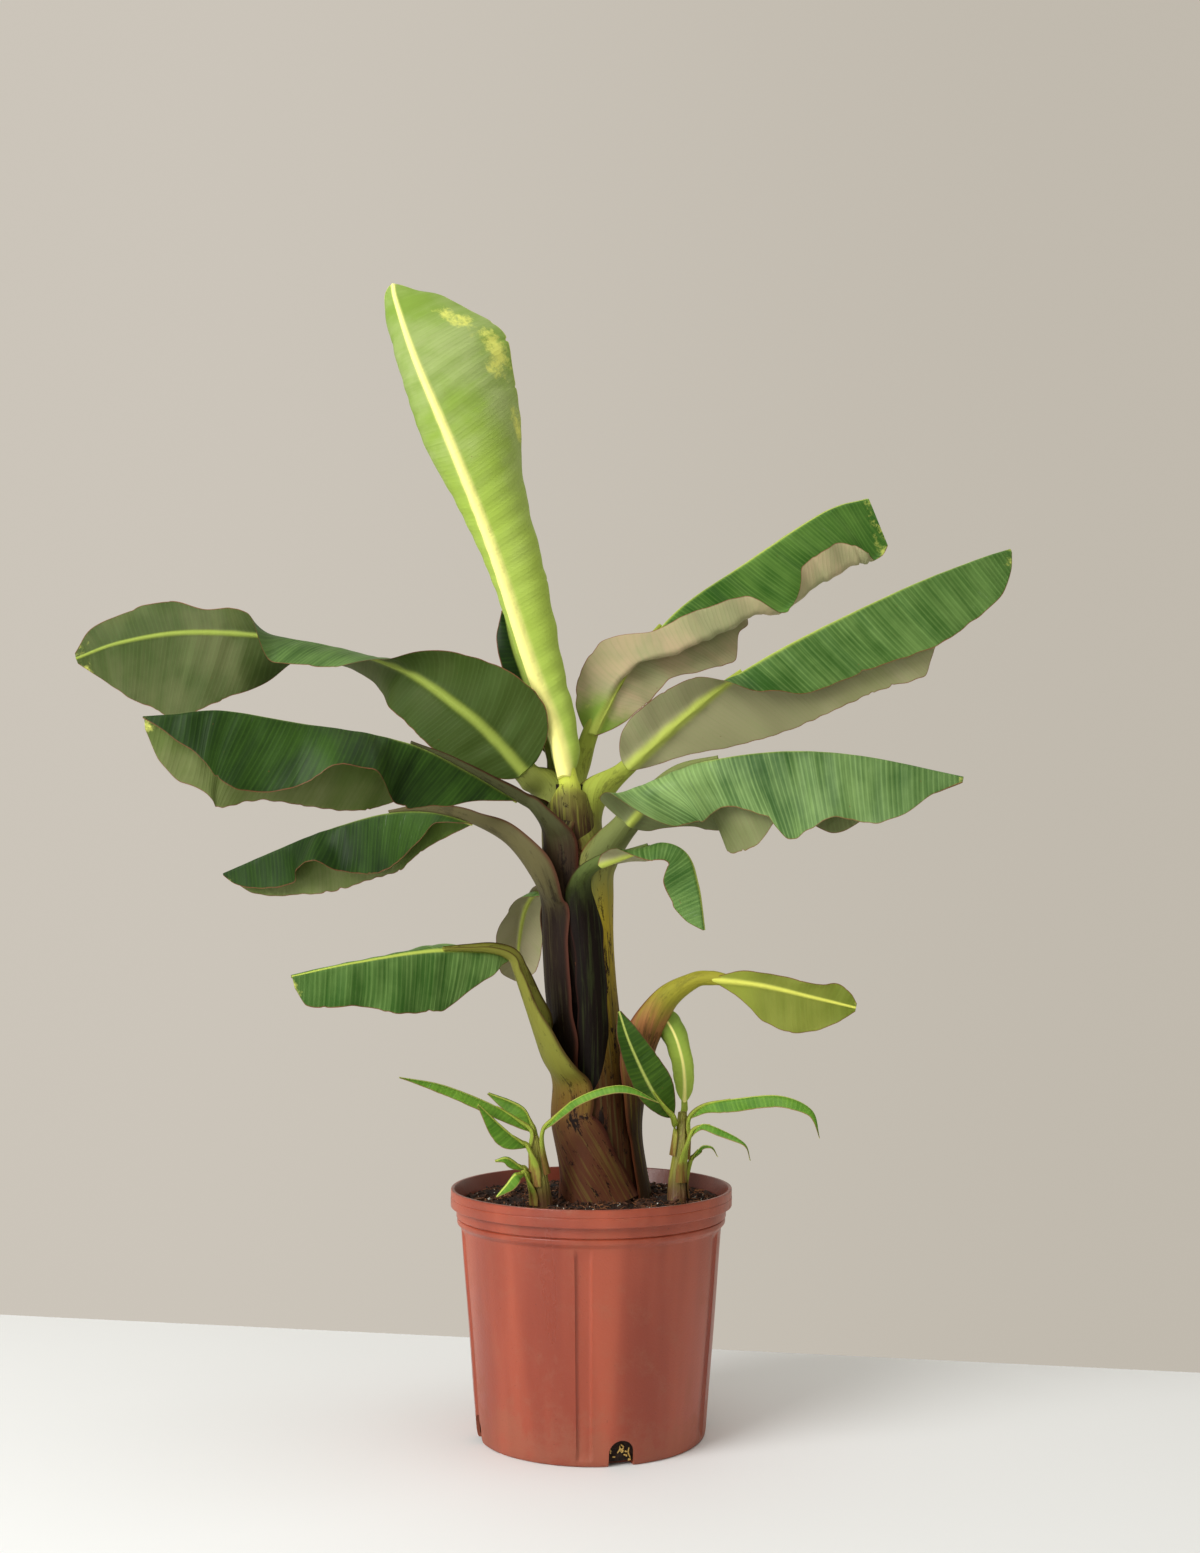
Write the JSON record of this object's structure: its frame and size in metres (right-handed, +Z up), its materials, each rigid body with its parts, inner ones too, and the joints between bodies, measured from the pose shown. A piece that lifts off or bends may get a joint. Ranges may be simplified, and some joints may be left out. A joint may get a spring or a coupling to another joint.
{
  "type": "potted banana plant",
  "caption": "Young banana plant: a dark leaning stem with long arching, drooping and twisted leaves and small suckers, growing in a tapered round nursery pot full of soil.",
  "frame": {"origin": "centre of the underside of the pot's base, where it rests", "axes": "+Z up, -Y towards the side the leaves are seen from, +X to the right from there"},
  "size_m": [0.9716, 0.3911, 1.159],
  "materials": {
    "terracotta_plastic": "thin terracotta-coloured plastic with a soft sheen",
    "soil": "dark moist potting mix with bark and fibre",
    "old_stem": "layered leaf sheaths, purple-brown with olive and coppery bands, low sheen",
    "young_stem": "fresh green, satin",
    "leaf": "dark green above with a waxy sheen, grey-green below",
    "young_leaf": "pale yellow-green with a yellow midrib",
    "sucker_leaf": "bright green, satin"
  },
  "bodies": {
    "root": {"nursery_pot": "terracotta_plastic", "potting_soil": "soil", "pseudostem": "old_stem", "left_sucker_stem": "young_stem", "right_sucker_stem": "young_stem", "leaf_upright": "young_leaf", "leaf_narrow": "leaf", "leaf_left_high": "leaf", "leaf_left_mid": "leaf", "leaf_left_low": "leaf", "leaf_left_small": "leaf", "leaf_back": "leaf", "leaf_right_high": "leaf", "leaf_right_top": "leaf", "leaf_right_mid": "leaf", "leaf_curled": "leaf", "leaf_right_small": "leaf", "left_sucker_leaf_1": "sucker_leaf", "left_sucker_leaf_2": "sucker_leaf", "left_sucker_leaf_3": "sucker_leaf", "left_sucker_leaf_4": "sucker_leaf", "left_sucker_leaf_5": "sucker_leaf", "left_sucker_leaf_6": "sucker_leaf", "right_sucker_leaf_1": "sucker_leaf", "right_sucker_leaf_2": "sucker_leaf", "right_sucker_leaf_3": "sucker_leaf", "right_sucker_leaf_4": "sucker_leaf", "right_sucker_leaf_5": "sucker_leaf"}
  },
  "joints": []
}
